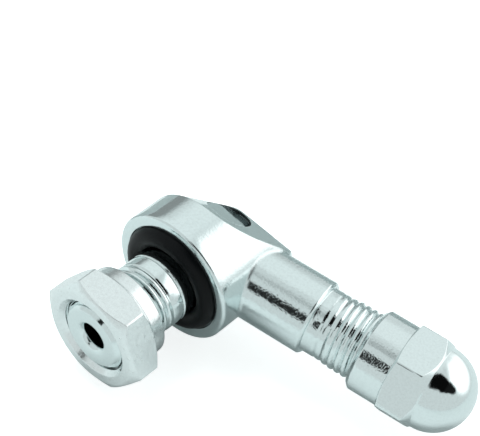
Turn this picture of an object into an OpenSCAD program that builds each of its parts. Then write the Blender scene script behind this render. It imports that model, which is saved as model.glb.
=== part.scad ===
// Angled clamp-in tyre valve: a chromed elbow that bolts through a wheel rim,
// with its rim seal, rim nut, screw cap and valve core.
// The spigot points along -Y, the arm leaves along +X and the part lies on its side, +Z up.
// The origin is the middle of the rim seat, on the spigot's axis.

/* [Head] */
// Diameter of the round head
head_d = 15; // [14:0.1:16.5]
// Height of the head's straight wall above the rim seat
head_wall_h = 4.5; // [4:0.1:5]
// Slope of the flat cheeks, measured from the rim seat
cheek_angle = 51; // [48:1:54]
// Width of the ridge between the two cheeks
ridge_w = 5.1; // [4.6:0.1:5.6]
// Radius of the slight crown along the ridge
crown_r = 7; // [6:0.5:12]
// Rounding along the ridge's two long edges
ridge_round = 0.45; // [0.2:0.05:0.7]
// Rounding at the ridge's end above the arm
ridge_end_r = 0.9; // [0.5:0.1:1.2]
// Bevel around the rim seat
seat_bevel = 0.15; // [0.1:0.05:0.5]
// Diameter of the shallow round pocket in each cheek
pocket_d = 5.3; // [4:0.1:5.6]
// Depth of that pocket, square to the cheek
pocket_depth = 0.45; // [0.2:0.05:0.7]
// Distance of the pocket's middle from the spigot's axis, toward the arm
pocket_x = 0.55; // [0:0.05:1]
// Height of the pocket's middle above the rim seat
pocket_h = 7.75; // [7.4:0.05:8]

/* [Arm] */
// Diameter of the smooth arm
arm_d = 8.4; // [8.2:0.1:8.8]
// Lean of the arm away from the rim, in degrees
arm_tilt = 10; // [6:1:14]
// Height of the arm's axis above the rim seat, on the spigot's axis
arm_rise = 5.45; // [5.2:0.05:5.8]
// Length of the smooth arm from the spigot's axis to its shoulder
arm_len = 14.1; // [13:0.1:18]
// Bevel on the arm's shoulder
shoulder_bevel = 0.35; // [0.1:0.05:0.5]
// Diameter of the plain relief next to the shoulder
relief_d = 7.4; // [6.9:0.1:7.6]
// Length of that relief
relief_len = 2.6; // [1.8:0.1:3]
// Length of the cap thread
stem_thread_len = 10.8; // [10:0.1:13]
// Outer diameter of the cap thread
stem_thread_d = 7.7; // [7.5:0.1:7.9]
// Pitch of the cap thread
stem_pitch = 0.794; // [0.7:0.01:0.9]
// Depth of the cap thread
stem_thread_depth = 0.42; // [0.3:0.02:0.5]

/* [Spigot] */
// Diameter of the plain neck that fills the rim hole
neck_d = 8; // [7.8:0.05:8.2]
// Length from the rim seat to the start of the spigot's thread
neck_len = 3.5; // [3:0.1:4.5]
// Diameter of the groove in the neck that keeps the seal on
root_d = 7.6; // [7.4:0.05:7.65]
// Length from the rim seat to the spigot's open end
spigot_len = 11.5; // [11:0.1:13.5]
// Outer diameter of the nut thread
spigot_thread_d = 8; // [7.8:0.05:8.2]
// Pitch of the nut thread
spigot_pitch = 0.8; // [0.7:0.05:1]
// Depth of the nut thread
spigot_thread_depth = 0.42; // [0.3:0.02:0.5]
// Bevel at the spigot's open end
spigot_bevel = 0.4; // [0.2:0.05:0.6]
// Diameter of the air bore up the spigot
air_bore_d = 3.3; // [3:0.1:3.6]
// Bevel at the air bore's mouth
air_bevel = 0.5; // [0.2:0.05:0.8]
// Diameter of the air bore along the arm
arm_bore_d = 2.7; // [2.2:0.1:2.8]

/* [Rim seal] */
// Thickness of the rubber ring's section
seal_section = 2.3; // [2:0.05:2.4]
// Depth of the recess that holds the ring
seal_recess = 1.4; // [1.2:0.05:1.5]
// Play around the ring in its recess
seal_play = 0.06; // [0.04:0.01:0.12]

/* [Rim nut] */
// Width of the nut across its flats
nut_af = 11.8; // [11.5:0.1:13]
// Height of the nut's hexagon
nut_hex_h = 4.05; // [3.6:0.05:4.5]
// Diameter of the round collar that faces the rim
nut_collar_d = 10.3; // [10:0.1:11]
// Height of the collar
nut_collar_h = 1.45; // [1:0.05:1.8]
// Width of the wide countersink in the collar
nut_sink_w = 0.65; // [0.3:0.05:0.75]
// Depth of that countersink
nut_sink_h = 0.5; // [0.3:0.05:0.9]
// Diameter of the flat outer face inside the 30 degree bevel
nut_face_d = 11.3; // [10.8:0.1:11.4]
// Slope of the bevel on the hexagon's collar side, in degrees
nut_back_slope = 35; // [25:1:40]
// Bevel at the nut thread's outer end
nut_mouth_bevel = 0.3; // [0.2:0.05:0.6]
// Turn of the hexagon as the nut was left, in degrees
nut_turn = 5; // [0:1:59]
// Radial play between nut and spigot thread
nut_play = 0.12; // [0.08:0.01:0.2]
// How far the nut's outer face stands beyond the spigot's end
nut_overhang = 0.1; // [0:0.05:0.5]

/* [Cap] */
// Diameter of the cap's round skirt and of its domed end
cap_d = 9.2; // [9.1:0.02:9.4]
// Length of the skirt
cap_skirt_len = 3.8; // [3:0.05:4.5]
// Bevel around the cap's mouth
cap_mouth_bevel = 0.45; // [0.2:0.05:0.5]
// Width of the cap's hexagon across its flats
cap_af = 9.5; // [9.5:0.05:10]
// Length of the hexagon
cap_hex_len = 4.05; // [3.6:0.05:4.8]
// Turn of the cap's hexagon as it was left, in degrees
cap_turn_rest = 3; // [0:1:59]
// Depth of the threaded bore from the mouth to the gasket's back
cap_bore_depth = 8.85; // [8.7:0.05:9.1]
// Radial play between cap and stem thread
cap_play = 0.12; // [0.08:0.01:0.15]
// Thickness of the gasket
gasket_t = 1.2; // [0.8:0.05:1.4]
// Diameter of the gasket
gasket_d = 7.2; // [6.8:0.1:7.4]

/* [Valve core] */
// Diameter of the core's threaded swivel
swivel_d = 5.1; // [4.9:0.05:5.2]
// Length of the swivel
swivel_len = 4.4; // [4:0.1:5]
// Thickness of the swivel's bridge between its key flats
swivel_bridge = 2.9; // [2.6:0.1:3.2]
// Depth of the swivel's top below the stem's open end
swivel_sink = 0.5; // [0.4:0.05:0.8]
// Diameter of the core barrel
barrel_d = 3.5; // [3.4:0.05:3.6]
// Length of the core barrel
barrel_len = 5.1; // [5:0.1:5.6]
// Thickness of the barrel's top flange
barrel_flange_t = 0.6; // [0.5:0.05:0.8]
// Diameter of the spring room in the barrel
spring_room_d = 2.8; // [2.7:0.05:2.9]
// Length of the packing sleeve on the barrel
packing_len = 1.8; // [1.4:0.1:2]
// Diameter of the core pin
pin_d = 1; // [0.9:0.05:1.1]
// Diameter of the pin's button end
pin_button_d = 1.6; // [1.4:0.05:1.7]
// Travel of the pin when it is pressed
pin_stroke = 1.5; // [1:0.1:1.6]
// Diameter of the spring's wire
spring_wire = 0.28; // [0.22:0.01:0.32]
// Number of turns of the spring
spring_turns = 4.5; // [4:0.5:6]
// Diameter of the plunger cup
plunger_d = 3.4; // [3.3:0.05:3.6]
// Length of the plunger cup
plunger_cup_len = 1.6; // [1.4:0.1:1.8]
// Thickness of the plunger's rubber ring
plunger_seal_t = 0.75; // [0.7:0.05:0.9]
// Height of the rubber ring that stands out of its cup
plunger_proud = 0.25; // [0.15:0.05:0.3]
// Diameter of the valve room in the arm
valve_room_d = 4.1; // [4:0.05:4.3]
// Assembly gap between the core's pieces
core_gap = 0.04; // [0.03:0.01:0.06]

/* [Hidden] */

$fn = 64;

// Small overrun so that cuts pass clean through a face
eps = 0.02;

// Head: half the ridge, its edge height and its crown's top
head_r = head_d / 2;
ridge_half = ridge_w / 2;
ridge_edge_h = head_wall_h + (head_r - ridge_half) * tan(cheek_angle);
crown_mid = ridge_edge_h - sqrt(crown_r * crown_r - ridge_half * ridge_half);
ridge_top_h = crown_mid + crown_r;

// Arm and stem, measured along the arm's axis from the spigot's axis
arm_r = arm_d / 2;
relief_end = arm_len + relief_len;
stem_end = relief_end + stem_thread_len;
stem_r = stem_thread_d / 2;
stem_lead = 0.6;

// Spigot and seal recess
neck_r = neck_d / 2;
root_r = root_d / 2;
seal_in_r = root_r + seal_play;
seal_out_r = seal_in_r + seal_section;
recess_r = seal_out_r + seal_play;
root_clear = 0.1;
root_len = seal_section + seal_play - seal_recess + root_clear;
root_cone = neck_r - root_r;

// Rim nut, measured along the spigot away from the seat
nut_out = spigot_len + nut_overhang;
nut_step = nut_out - nut_hex_h;
nut_in = nut_step - nut_collar_h;
nut_bore_r = spigot_thread_d / 2 + nut_play;
nut_corner_r = nut_af / sqrt(3);
nut_turned_r = nut_corner_r + 0.4;
nut_bevel_h = (nut_turned_r - nut_face_d / 2) * tan(30);
nut_back_h = (nut_turned_r - nut_collar_d / 2) * tan(nut_back_slope);

// Cap, measured along the arm's axis
cap_r = cap_d / 2;
gasket_face = stem_end + core_gap;
cap_floor = gasket_face + gasket_t + core_gap;
cap_mouth = cap_floor - cap_bore_depth;
cap_hex_start = cap_mouth + cap_skirt_len;
cap_hex_end = cap_hex_start + cap_hex_len;
cap_corner_r = cap_af / sqrt(3);
cap_bore_r = stem_r + cap_play;
cap_turned_r = cap_corner_r + 0.3;
cap_rear_slope = 0.4;
cap_hex_root = 0.3;
cap_root_r = cap_r - cap_hex_root;

// Core, measured inward from the stem's open end
core_bore_r = swivel_d / 2 + core_gap;
swivel_end = swivel_sink + swivel_len;
barrel_top = swivel_end + core_gap;
barrel_end = barrel_top + barrel_len;
barrel_r = barrel_d / 2;
spring_top = barrel_top + barrel_flange_t;
spring_floor = barrel_end - 0.8;
packing_top = spring_top + core_gap;
packing_end = packing_top + packing_len;
seat_cone_top = swivel_end + 0.2;
seat_cone_end = packing_end + 0.3;
valve_room_r = valve_room_d / 2;
seat_cone_slope = (core_bore_r - valve_room_r) / (seat_cone_end - seat_cone_top);
spring_cup_t = 0.45;
spring_cup_top = spring_top + 0.15;
spring_cup_end = spring_cup_top + spring_cup_t;
pin_r = pin_d / 2;
pin_button_t = 0.5;
pin_tip = 0.3;
plunger_seal_top = barrel_end + core_gap;
plunger_cup_top = plunger_seal_top + plunger_proud;
plunger_cup_end = plunger_cup_top + plunger_cup_len;
plunger_r = plunger_d / 2;
plunger_wall = 0.25;
plunger_cone = 0.5;
pin_tail = 0.3;
pin_end = plunger_cup_end + pin_tail;
valve_room_spare = 0.5;
valve_room_end = pin_end + pin_stroke + valve_room_spare;

// Stands a shape that was drawn along +Z on the spigot's axis, +Z away from the rim
module on_spigot() {
  rotate([-90, 0, 0])
    children();
}

// Lays a shape that was drawn along +Z on the arm's axis, +Z toward the cap
module on_arm() {
  translate([0, arm_rise, 0])
    rotate([0, 0, arm_tilt])
      rotate([0, 90, 0])
        children();
}

// Places a core piece that was drawn along +Z inward from the stem's open end
module in_core() {
  on_arm()
    translate([0, 0, stem_end])
      rotate([180, 0, 0])
        children();
}

// Points of a V thread from z0 to z1 with crests at radius r
function thread_points(r, depth, pitch, z0, z1) =
  let (turns = floor((z1 - z0) / pitch))
  [for (i = [0 : turns - 1], h = [0, 1])
    [r - (h == 0 ? depth : 0), z0 + (i + h / 2) * pitch]];

// Arc points from angle a0 to a1 about a centre
function arc_points(mid, r, a0, a1, steps) =
  [for (i = [0 : steps]) let (a = a0 + (a1 - a0) * i / steps) mid + r * [cos(a), sin(a)]];

// Middle of the rounding between cheek and crown: inside both faces by its radius
function ridge_round_mid() =
  let (n = [sin(cheek_angle), cos(cheek_angle)],
    foot = [head_r, head_wall_h] - ridge_round * n,
    along = [-cos(cheek_angle), sin(cheek_angle)],
    reach = crown_r - ridge_round,
    rel = foot - [0, crown_mid],
    b = rel * along,
    c = rel * rel - reach * reach)
  foot + along * (-b + sqrt(b * b - c));

// Half of the head's section from the cheek's upper edge to the ridge's flat middle
function roof_half() =
  let (m = ridge_round_mid(),
    top_a = atan2(m[1] - crown_mid, m[0]))
  concat(
    arc_points(m, ridge_round, 90 - cheek_angle, top_a, 5),
    [for (i = [1 : 4]) let (a = top_a + (90 - top_a) * i / 5) [crown_r * cos(a), crown_mid + crown_r * sin(a)]]);

// Section of the head's roof on one side, drawn past the round wall
function roof_side() =
  concat([[head_r + 1, -1], [head_r + 1, head_wall_h - tan(cheek_angle)]], roof_half());

// Roof over the back half of the head, turned about the spigot's axis
module roof_back() {
  side = roof_side();
  on_spigot()
    rotate([0, 0, 90])
      rotate_extrude(angle = 180)
        polygon(concat([[0, -1]], side, [[0, side[len(side) - 1][1]]]));
}

// Roof over the front half of the head: the same section drawn out straight
module roof_front() {
  side = roof_side();
  rotate([90, 0, 90])
    linear_extrude(height = head_r + 1)
      polygon(concat(
        [for (p = side) [p[1], p[0]]],
        [for (i = [len(side) - 1 : -1 : 0]) [side[i][1], -side[i][0]]]));
}

// Head: its roof inside the round wall, which rounds off the ridge's end above the arm
module head_form() {
  round_h = ridge_top_h + 0.05;
  intersection() {
    union() {
      roof_back();
      roof_front();
    }
    on_spigot()
      rotate_extrude()
        polygon(concat(
          [[0, 0], [head_r - seat_bevel, 0], [head_r, seat_bevel]],
          arc_points([head_r - ridge_end_r, round_h - ridge_end_r], ridge_end_r, 0, 90, 6),
          [[0, round_h]]));
  }
}

// One cheek pocket: round when seen square to the part, with a floor along the cheek
module cheek_pocket(side) {
  n = [0, cos(cheek_angle), side * sin(cheek_angle)];
  foot = [0, head_wall_h, side * head_r] - pocket_depth * n;
  intersection() {
    translate([pocket_x, pocket_h, 0])
      mirror([0, 0, side < 0 ? 1 : 0])
        cylinder(d = pocket_d, h = head_r + 1);
    translate(foot)
      rotate([side * cheek_angle - 90, 0, 0])
        translate([-head_r, -2 * head_r, 0])
          cube([2 * head_r, 4 * head_r, head_r]);
  }
}

// Forged elbow with its head, spigot, arm and threaded stem, all one piece
module elbow_body() {
  color("gainsboro")
    difference() {
      union() {
        difference() {
          head_form();
          cheek_pocket(1);
          cheek_pocket(-1);
          on_spigot()
            translate([0, 0, -1])
              cylinder(r = recess_r, h = seal_recess + 1);
        }
        on_spigot()
          rotate_extrude()
            polygon(concat(
              [[0, seal_recess + 1], [root_r, seal_recess + 1], [root_r, -root_len],
                [neck_r, -root_len - root_cone], [neck_r, -neck_len]],
              [for (p = thread_points(spigot_thread_d / 2, spigot_thread_depth, spigot_pitch,
                neck_len, spigot_len - spigot_bevel)) [p[0], -p[1]]],
              [[spigot_thread_d / 2 - spigot_bevel, -spigot_len], [0, -spigot_len]]));
        on_arm()
          rotate_extrude()
            polygon(concat(
              [[0, 0], [arm_r, 0], [arm_r, arm_len - shoulder_bevel], [arm_r - shoulder_bevel, arm_len],
                [relief_d / 2, arm_len], [relief_d / 2, relief_end]],
              thread_points(stem_r, stem_thread_depth, stem_pitch, relief_end, stem_end - stem_lead),
              [[stem_r - stem_lead, stem_end], [0, stem_end]]));
      }
      on_spigot()
        translate([0, 0, -spigot_len - 1])
          cylinder(d = air_bore_d, h = spigot_len + 1 + arm_rise + arm_bore_d / 2 + 0.5);
      on_spigot()
        translate([0, 0, -spigot_len])
          cylinder(r1 = air_bore_d / 2 + air_bevel, r2 = air_bore_d / 2, h = air_bevel);
      on_arm()
        cylinder(d = arm_bore_d, h = stem_end);
      in_core()
        rotate_extrude()
          polygon([[0, -1], [core_bore_r, -1], [core_bore_r, seat_cone_top],
            [valve_room_r, seat_cone_end], [valve_room_r, valve_room_end - 0.3],
            [valve_room_r - 0.3, valve_room_end], [0, valve_room_end]]);
    }
}

// Rubber ring in the recess under the head
module rim_seal_ring() {
  color("black")
    on_spigot()
      translate([0, 0, seal_recess - seal_play - seal_section / 2])
        rotate_extrude()
          translate([seal_in_r + seal_section / 2, 0])
            circle(d = seal_section, $fn = 32);
}

// Hexagon nut with a round collar that faces the rim
module rim_nut() {
  color("lightgray")
    difference() {
      on_spigot() {
        translate([0, 0, -nut_step])
          cylinder(d = nut_collar_d, h = nut_collar_h);
        intersection() {
          translate([0, 0, -nut_out])
            rotate([0, 0, nut_turn])
              cylinder(r = nut_corner_r, h = nut_hex_h, $fn = 6);
          rotate_extrude()
            polygon([[0, -nut_out], [nut_face_d / 2, -nut_out], [nut_turned_r, -nut_out + nut_bevel_h],
              [nut_turned_r, -nut_step - nut_back_h], [nut_collar_d / 2, -nut_step], [0, -nut_step]]);
        }
      }
      on_spigot()
        rotate_extrude()
          polygon([[0, -nut_out - 1], [nut_bore_r + nut_mouth_bevel, -nut_out - 1],
            [nut_bore_r + nut_mouth_bevel, -nut_out], [nut_bore_r, -nut_out + nut_mouth_bevel], [nut_bore_r, -nut_in - nut_sink_h],
            [nut_bore_r + nut_sink_w, -nut_in], [nut_bore_r + nut_sink_w, -nut_in + 1], [0, -nut_in + 1]]);
    }
}

// Screw cap with a round skirt, a hexagon and a domed end
module cap_shell() {
  color("gainsboro")
    on_arm()
      difference() {
        union() {
          rotate_extrude()
            polygon(concat(
              [[0, cap_mouth], [cap_r - cap_mouth_bevel, cap_mouth], [cap_r, cap_mouth + cap_mouth_bevel]],
              arc_points([0, cap_hex_end], cap_r, 0, 85, 16),
              [[0, cap_hex_end + cap_r]]));
          intersection() {
            translate([0, 0, cap_hex_start - 1])
              rotate([0, 0, 30 + cap_turn_rest])
                cylinder(r = cap_corner_r, h = cap_hex_len + 2, $fn = 6);
            rotate_extrude()
              polygon([[cap_bore_r - 0.2, cap_hex_start - cap_hex_root * cap_rear_slope],
                [cap_root_r, cap_hex_start - cap_hex_root * cap_rear_slope],
                [cap_turned_r, cap_hex_start + (cap_turned_r - cap_r) * cap_rear_slope],
                [cap_turned_r, cap_hex_end - (cap_turned_r - cap_r)],
                [cap_root_r, cap_hex_end + cap_hex_root],
                [cap_bore_r - 0.2, cap_hex_end + cap_hex_root]]);
          }
        }
        translate([0, 0, cap_mouth - 1])
          cylinder(r = cap_bore_r, h = gasket_face - core_gap - cap_mouth + 1);
        translate([0, 0, cap_mouth])
          cylinder(r = gasket_d / 2 + core_gap, h = cap_bore_depth);
      }
}

// Rubber disc at the bottom of the cap
module cap_gasket() {
  color("dimgray")
    on_arm()
      translate([0, 0, gasket_face])
        cylinder(d = gasket_d, h = gasket_t);
}

// Threaded swivel of the core, with two flats for the core key
module core_swivel() {
  color("goldenrod")
    in_core()
      difference() {
        union() {
          translate([0, 0, swivel_sink + 2])
            cylinder(d = swivel_d, h = swivel_len - 2);
          intersection() {
            translate([0, 0, swivel_sink])
              cylinder(d = swivel_d - 0.5, h = 2 + eps);
            translate([-swivel_bridge / 2, -swivel_d, 0])
              cube([swivel_bridge, 2 * swivel_d, swivel_sink + 2 + eps]);
          }
        }
        translate([0, 0, -1])
          cylinder(d = pin_button_d + 0.6, h = swivel_end + 2);
      }
}

// Barrel of the core, with the spring's room inside
module core_barrel() {
  color("goldenrod")
    in_core()
      rotate_extrude()
        polygon([[pin_r + 0.2, barrel_top], [core_bore_r - 0.3, barrel_top], [core_bore_r - 0.3, spring_top],
          [barrel_r, spring_top], [barrel_r, barrel_end - 0.3], [barrel_r - 0.3, barrel_end],
          [pin_r + 0.4, barrel_end], [pin_r + 0.4, spring_floor], [spring_room_d / 2, spring_floor],
          [spring_room_d / 2, spring_top], [pin_r + 0.2, spring_top]]);
}

// Tapered packing sleeve that seals the barrel in the arm
module core_packing() {
  color("firebrick")
    in_core()
      rotate_extrude()
        polygon([[barrel_r + core_gap, packing_top],
          [core_bore_r - core_gap - (packing_top - seat_cone_top) * seat_cone_slope, packing_top],
          [core_bore_r - core_gap - (packing_end - seat_cone_top) * seat_cone_slope, packing_end],
          [barrel_r + core_gap, packing_end]]);
}

// Pin that runs through the core, with a button at its outer end
module core_pin() {
  color("goldenrod")
    in_core() {
      translate([0, 0, pin_tip])
        cylinder(d = pin_button_d, h = pin_button_t);
      translate([0, 0, pin_tip])
        cylinder(d = pin_d, h = pin_end - pin_tip);
    }
}

// Small cup crimped on the pin, pushed outward by the spring
module core_spring_cup() {
  color("silver")
    in_core()
      translate([0, 0, spring_cup_top])
        difference() {
          cylinder(d = spring_room_d - 0.2, h = spring_cup_t);
          translate([0, 0, -1])
            cylinder(d = pin_d + 2 * core_gap, h = spring_cup_t + 2);
        }
}

// Ring of points across the spring's wire at turn angle a and height z
function wire_ring(a, z, mid_r, wire_r, sides) =
  [for (k = [0 : sides - 1])
    let (b = 360 * k / sides, r = mid_r + wire_r * cos(b))
    [r * cos(a), r * sin(a), z + wire_r * sin(b)]];

// Coil spring between the cup and the barrel's floor
module core_spring() {
  sides = 8;
  steps = spring_turns * 16;
  wire_r = spring_wire / 2;
  mid_r = spring_room_d / 2 - wire_r - 0.08;
  z0 = spring_cup_end + core_gap + wire_r;
  z1 = spring_floor - core_gap - wire_r;
  rings = [for (i = [0 : steps]) each wire_ring(360 * spring_turns * i / steps, z0 + (z1 - z0) * i / steps,
    mid_r, wire_r, sides)];
  walls = [for (i = [0 : steps - 1], k = [0 : sides - 1])
    let (n = (k + 1) % sides)
    [i * sides + k, (i + 1) * sides + k, (i + 1) * sides + n, i * sides + n]];
  ends = [[for (k = [0 : sides - 1]) k], [for (k = [0 : sides - 1]) steps * sides + sides - 1 - k]];
  color("silver")
    in_core()
      polyhedron(points = rings, faces = concat(walls, ends), convexity = 6);
}

// Rubber ring that closes the barrel from below
module core_plunger_seal() {
  color("black")
    in_core()
      translate([0, 0, plunger_seal_top])
        difference() {
          cylinder(r = plunger_r - plunger_wall - core_gap, h = plunger_seal_t);
          translate([0, 0, -1])
            cylinder(d = pin_d + 2 * core_gap, h = plunger_seal_t + 2);
        }
}

// Cup on the pin's inner end that carries the rubber ring
module core_plunger_cup() {
  color("goldenrod")
    in_core()
      rotate_extrude()
        polygon([[pin_r + core_gap, plunger_seal_top + plunger_seal_t + core_gap],
          [plunger_r - plunger_wall, plunger_seal_top + plunger_seal_t + core_gap],
          [plunger_r - plunger_wall, plunger_cup_top], [plunger_r, plunger_cup_top],
          [plunger_r, plunger_cup_end - plunger_cone], [plunger_r - plunger_cone, plunger_cup_end],
          [pin_r + core_gap, plunger_cup_end]]);
}

elbow_body();
rim_seal_ring();
rim_nut();
cap_shell();
cap_gasket();
core_swivel();
core_barrel();
core_packing();
core_pin();
core_spring_cup();
core_spring();
core_plunger_seal();
core_plunger_cup();
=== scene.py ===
import math

import bmesh
import bpy
from mathutils import Matrix, Vector


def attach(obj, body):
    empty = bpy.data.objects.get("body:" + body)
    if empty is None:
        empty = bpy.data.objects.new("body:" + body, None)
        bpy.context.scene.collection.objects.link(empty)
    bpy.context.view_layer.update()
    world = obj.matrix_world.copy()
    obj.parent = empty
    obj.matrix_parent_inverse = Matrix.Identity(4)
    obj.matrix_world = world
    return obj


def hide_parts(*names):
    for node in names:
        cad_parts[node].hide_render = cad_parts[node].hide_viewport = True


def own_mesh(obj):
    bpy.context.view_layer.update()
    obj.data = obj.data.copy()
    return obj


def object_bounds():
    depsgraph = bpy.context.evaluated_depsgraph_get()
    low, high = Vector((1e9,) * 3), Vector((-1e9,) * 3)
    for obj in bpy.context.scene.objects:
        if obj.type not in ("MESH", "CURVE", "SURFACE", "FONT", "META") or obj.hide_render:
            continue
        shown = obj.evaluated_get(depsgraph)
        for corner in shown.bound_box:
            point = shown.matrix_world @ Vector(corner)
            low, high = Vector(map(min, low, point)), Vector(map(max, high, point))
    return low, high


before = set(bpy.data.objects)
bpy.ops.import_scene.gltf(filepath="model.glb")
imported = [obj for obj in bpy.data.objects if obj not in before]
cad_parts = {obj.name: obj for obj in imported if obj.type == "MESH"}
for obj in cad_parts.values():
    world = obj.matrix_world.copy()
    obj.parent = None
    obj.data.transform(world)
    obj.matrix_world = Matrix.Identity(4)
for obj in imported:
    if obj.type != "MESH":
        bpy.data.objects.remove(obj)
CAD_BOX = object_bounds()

# Elbow: one forging with a round head, a spigot through the rim and an arm that carries
# the cap thread. It is turned, threaded and bored, then polished and plated with
# bright chrome, so its flats keep a faint ripple from the polishing wheel.
MM = 0.001
TURN = 2 * math.pi

# Head, in millimetres: y up from the rim seat along the spigot's axis
HEAD_R = 7.5
HEAD_WALL_H = 4.5
WALL_FOOT = 1.0
CHEEK = math.radians(51)
RIDGE_HALF = 2.55
RIDGE_ROUND = 0.45
RIDGE_END_R = 0.9
RIDGE_SPARE = 0.05
CROWN_R = 7.0
SEAT_ROUND = 0.3
RECESS_R = 6.22
RECESS_H = 1.4
RECESS_ROUND = 0.12
ROUND_STEPS = 6
CROWN_STEPS = 6
WALL_STEPS = 4
FRONT_COLUMNS = 24
BACK_COLUMNS = 80

# Half of the head's section as (z, y): rounding of the ridge's edge, then its crown to the middle
ridge_edge_h = HEAD_WALL_H + (HEAD_R - RIDGE_HALF) * math.tan(CHEEK)
crown_mid = ridge_edge_h - math.sqrt(CROWN_R ** 2 - RIDGE_HALF ** 2)
cheek_normal = Vector((math.sin(CHEEK), math.cos(CHEEK)))
up_cheek = Vector((-math.cos(CHEEK), math.sin(CHEEK)))
round_foot = Vector((HEAD_R, HEAD_WALL_H)) - RIDGE_ROUND * cheek_normal - Vector((0, crown_mid))
foot_along = round_foot.dot(up_cheek)
foot_rest = round_foot.length_squared - (CROWN_R - RIDGE_ROUND) ** 2
to_crown = math.sqrt(foot_along ** 2 - foot_rest) - foot_along
round_mid = round_foot + up_cheek * to_crown + Vector((0, crown_mid))
round_start = math.pi / 2 - CHEEK
crown_start = math.atan2(round_mid.y - crown_mid, round_mid.x)
head_section = []
for k in range(ROUND_STEPS + 1):
    angle = round_start + (crown_start - round_start) * k / ROUND_STEPS
    head_section.append((round_mid.x + RIDGE_ROUND * math.cos(angle),
                         round_mid.y + RIDGE_ROUND * math.sin(angle)))
for k in range(1, CROWN_STEPS + 1):
    angle = crown_start + (math.pi / 2 - crown_start) * k / CROWN_STEPS
    head_section.append((CROWN_R * math.cos(angle), crown_mid + CROWN_R * math.sin(angle)))
head_section[-1] = (0.0, head_section[-1][1])

# The wall rounds inward from here up, and ends just above the crown
round_low = crown_mid + CROWN_R + RIDGE_SPARE - RIDGE_END_R


def wall_radius(y):
    """Radius of the head's round wall, which rounds inward at the ridge's end."""
    rise = max(0.0, y - round_low)
    return HEAD_R - RIDGE_END_R + math.sqrt(RIDGE_END_R ** 2 - rise ** 2)


def ridge_reach(z, y):
    """How far a line of the ridge at (z, y) runs toward the arm before it meets the wall."""
    return math.sqrt(wall_radius(y) ** 2 - z ** 2)


# Roof columns from the front on one side, round the back, to the front on the other side
front_turn = math.acos(head_section[0][0] / HEAD_R)
full_reach = ridge_reach(*head_section[0])
half_front = []
for c in range(FRONT_COLUMNS + 1):
    turn = front_turn * c / FRONT_COLUMNS
    x, z = HEAD_R * math.sin(turn), HEAD_R * math.cos(turn)
    share = min(1.0, x / full_reach)
    foot = (x, HEAD_WALL_H + (HEAD_R - z) * math.tan(CHEEK), z)
    half_front.append([foot] + [(share * ridge_reach(sz, sy), sy, sz) for sz, sy in head_section])
half_front[-1][0] = half_front[-1][1]
round_back = []
for c in range(1, BACK_COLUMNS):
    turn = math.pi * c / BACK_COLUMNS
    half = [(HEAD_R, HEAD_WALL_H)] + head_section
    round_back.append([(-sz * math.sin(turn), sy, sz * math.cos(turn)) for sz, sy in half])
other_front = [[(x, y, -z) for x, y, z in column] for column in half_front]
roof = half_front[::-1] + round_back + other_front

# The roof's outline, which the wall columns hang from, goes once round the head
ridge_end = half_front[-1][1:]
outline = [column[0] for column in roof]
outline += [(x, y, -z) for x, y, z in ridge_end[1:]] + ridge_end[-2:0:-1]

ROUNDING_SHARE = 0.45


def rounded_profile(corners, steps=4):
    """Points through (radius, height, rounding) corners, each rounding drawn as an arc.

    A rounding takes at most ROUNDING_SHARE of the lines beside it.
    """
    points = []
    for i, (radius, height, rounding) in enumerate(corners):
        here = Vector((radius, height))
        if not rounding:
            points.append(here)
            continue
        back = Vector(corners[i - 1][:2]) - here
        ahead = Vector(corners[i + 1][:2]) - here
        half = back.angle(ahead) / 2
        reach = min(rounding / math.tan(half), ROUNDING_SHARE * back.length, ROUNDING_SHARE * ahead.length)
        middle = here + (back.normalized() + ahead.normalized()).normalized() * reach / math.cos(half)
        first = here + back.normalized() * reach - middle
        last = here + ahead.normalized() * reach - middle
        points += [middle + first.normalized().slerp(last.normalized(), k / steps) * first.length
                   for k in range(steps + 1)]
    return points


under = rounded_profile([
    (HEAD_R, WALL_FOOT, 0), (HEAD_R, 0, SEAT_ROUND), (RECESS_R, 0, RECESS_ROUND),
    (RECESS_R, RECESS_H, 0), (0, RECESS_H, 0)])
wall = []
for x, y, z in outline:
    reach = math.hypot(x, z)
    way = Vector((x / reach, 0, z / reach))
    column = []
    for k in range(WALL_STEPS + 1):
        h = y + (min(y, round_low) - y) * k / WALL_STEPS
        column.append(way * (reach if k == 0 else wall_radius(h)) + Vector((0, h, 0)))
    column += [way * r + Vector((0, h, 0)) for r, h in under]
    wall.append(column)


def skin(columns, seam=None):
    """Points and faces of a surface through columns of points, closed round.

    seam gives, for each row of the last column, the row of the first column that it meets.
    """
    rows = len(columns[0])
    seam = seam or range(rows)
    points = [p for column in columns for p in column]
    faces = []
    for j in range(len(columns)):
        at_seam = j == len(columns) - 1
        ahead = 0 if at_seam else (j + 1) * rows
        for k in range(rows - 1):
            near, far = (seam[k], seam[k + 1]) if at_seam else (k, k + 1)
            faces.append((j * rows + k, j * rows + k + 1, ahead + far, ahead + near))
    return points, faces


# Points nearer than this are one point, and edges shorter than this are no edge, in millimetres
WELD_GAP = 2e-4
SLIVER = 1e-4


def weld(mesh):
    """Joins points that coincide, drops faces without area and turns all faces outward."""
    build = bmesh.new()
    build.from_mesh(mesh)
    bmesh.ops.remove_doubles(build, verts=build.verts, dist=WELD_GAP * MM)
    bmesh.ops.dissolve_degenerate(build, edges=build.edges, dist=SLIVER * MM)
    bmesh.ops.recalc_face_normals(build, faces=build.faces)
    build.to_mesh(mesh)
    build.free()


def solid(name, points, faces, place=None):
    """Closed mesh object from points in millimetres."""
    mesh = bpy.data.meshes.new(name)
    mesh.from_pydata([(place @ Vector(p) if place else Vector(p)) * MM for p in points], [], faces)
    weld(mesh)
    piece = bpy.data.objects.new(name, mesh)
    bpy.context.scene.collection.objects.link(piece)
    return piece


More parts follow.
